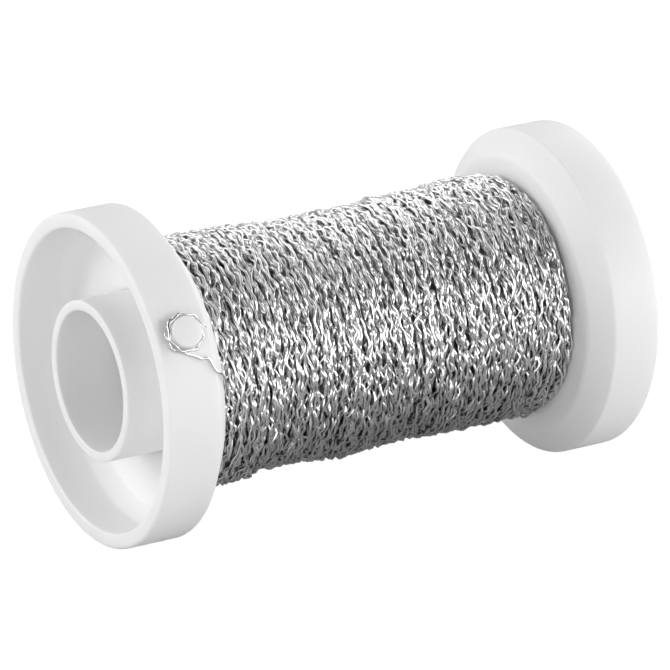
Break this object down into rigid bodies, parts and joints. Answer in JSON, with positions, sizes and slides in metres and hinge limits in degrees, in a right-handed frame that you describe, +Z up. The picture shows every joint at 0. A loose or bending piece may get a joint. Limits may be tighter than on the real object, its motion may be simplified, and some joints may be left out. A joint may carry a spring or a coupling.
{
  "type": "craft wire spool",
  "caption": "Small dished-flange plastic spool wound with crimped craft wire, its free end tied round a peg on one rim, with a through bore for a spindle.",
  "frame": {"origin": "middle of the bore's axis, halfway between the two outer end faces", "axes": "+X along the bore towards the flange without the tie peg; +Z up as the spool lies on its two rims"},
  "size_m": [0.0744, 0.045, 0.045],
  "materials": {
    "spool_plastic": "satin white moulding",
    "wire": "bright silver, crimped"
  },
  "bodies": {
    "root": {"core_tube": "spool_plastic", "near_flange": "spool_plastic", "far_flange": "spool_plastic", "wire_inner_layers": "wire", "wire_outer_layer": "wire", "wire_end": "wire"}
  },
  "joints": []
}
